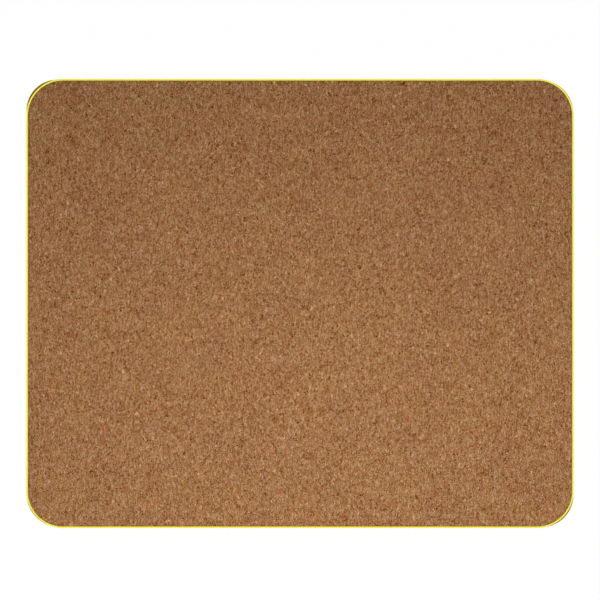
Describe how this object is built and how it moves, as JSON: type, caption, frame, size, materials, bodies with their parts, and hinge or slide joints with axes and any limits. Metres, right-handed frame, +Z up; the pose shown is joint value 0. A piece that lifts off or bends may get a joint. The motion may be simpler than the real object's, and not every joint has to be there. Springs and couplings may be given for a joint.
{
  "type": "mouse pad",
  "caption": "Flat rectangular mouse pad with rounded corners: a cork face on a foam core, held in a thin yellow edge band, over a non-slip rubber base.",
  "frame": {"origin": "middle of the underside, on the surface that the pad lies on", "axes": "+X along the long side, +Y along the short side away from the user, +Z up through the cork face"},
  "size_m": [0.22, 0.1806, 0.004],
  "materials": {
    "base_rubber": "brown natural rubber with a fine raised grip pattern underneath",
    "glue_film": "pale hot-melt bonding film, hidden between the sheets",
    "core_foam": "dark grey closed-cell foam, hidden inside the band",
    "cork": "fine-grained pressed cork, unsealed and matt",
    "yellow_vinyl": "lemon yellow flexible plastic strip, satin"
  },
  "bodies": {
    "root": {"grip_base_sheet": "base_rubber", "lower_glue_film": "glue_film", "foam_core_sheet": "core_foam", "upper_glue_film": "glue_film", "cork_face_sheet": "cork", "yellow_edge_band": "yellow_vinyl"}
  },
  "joints": []
}
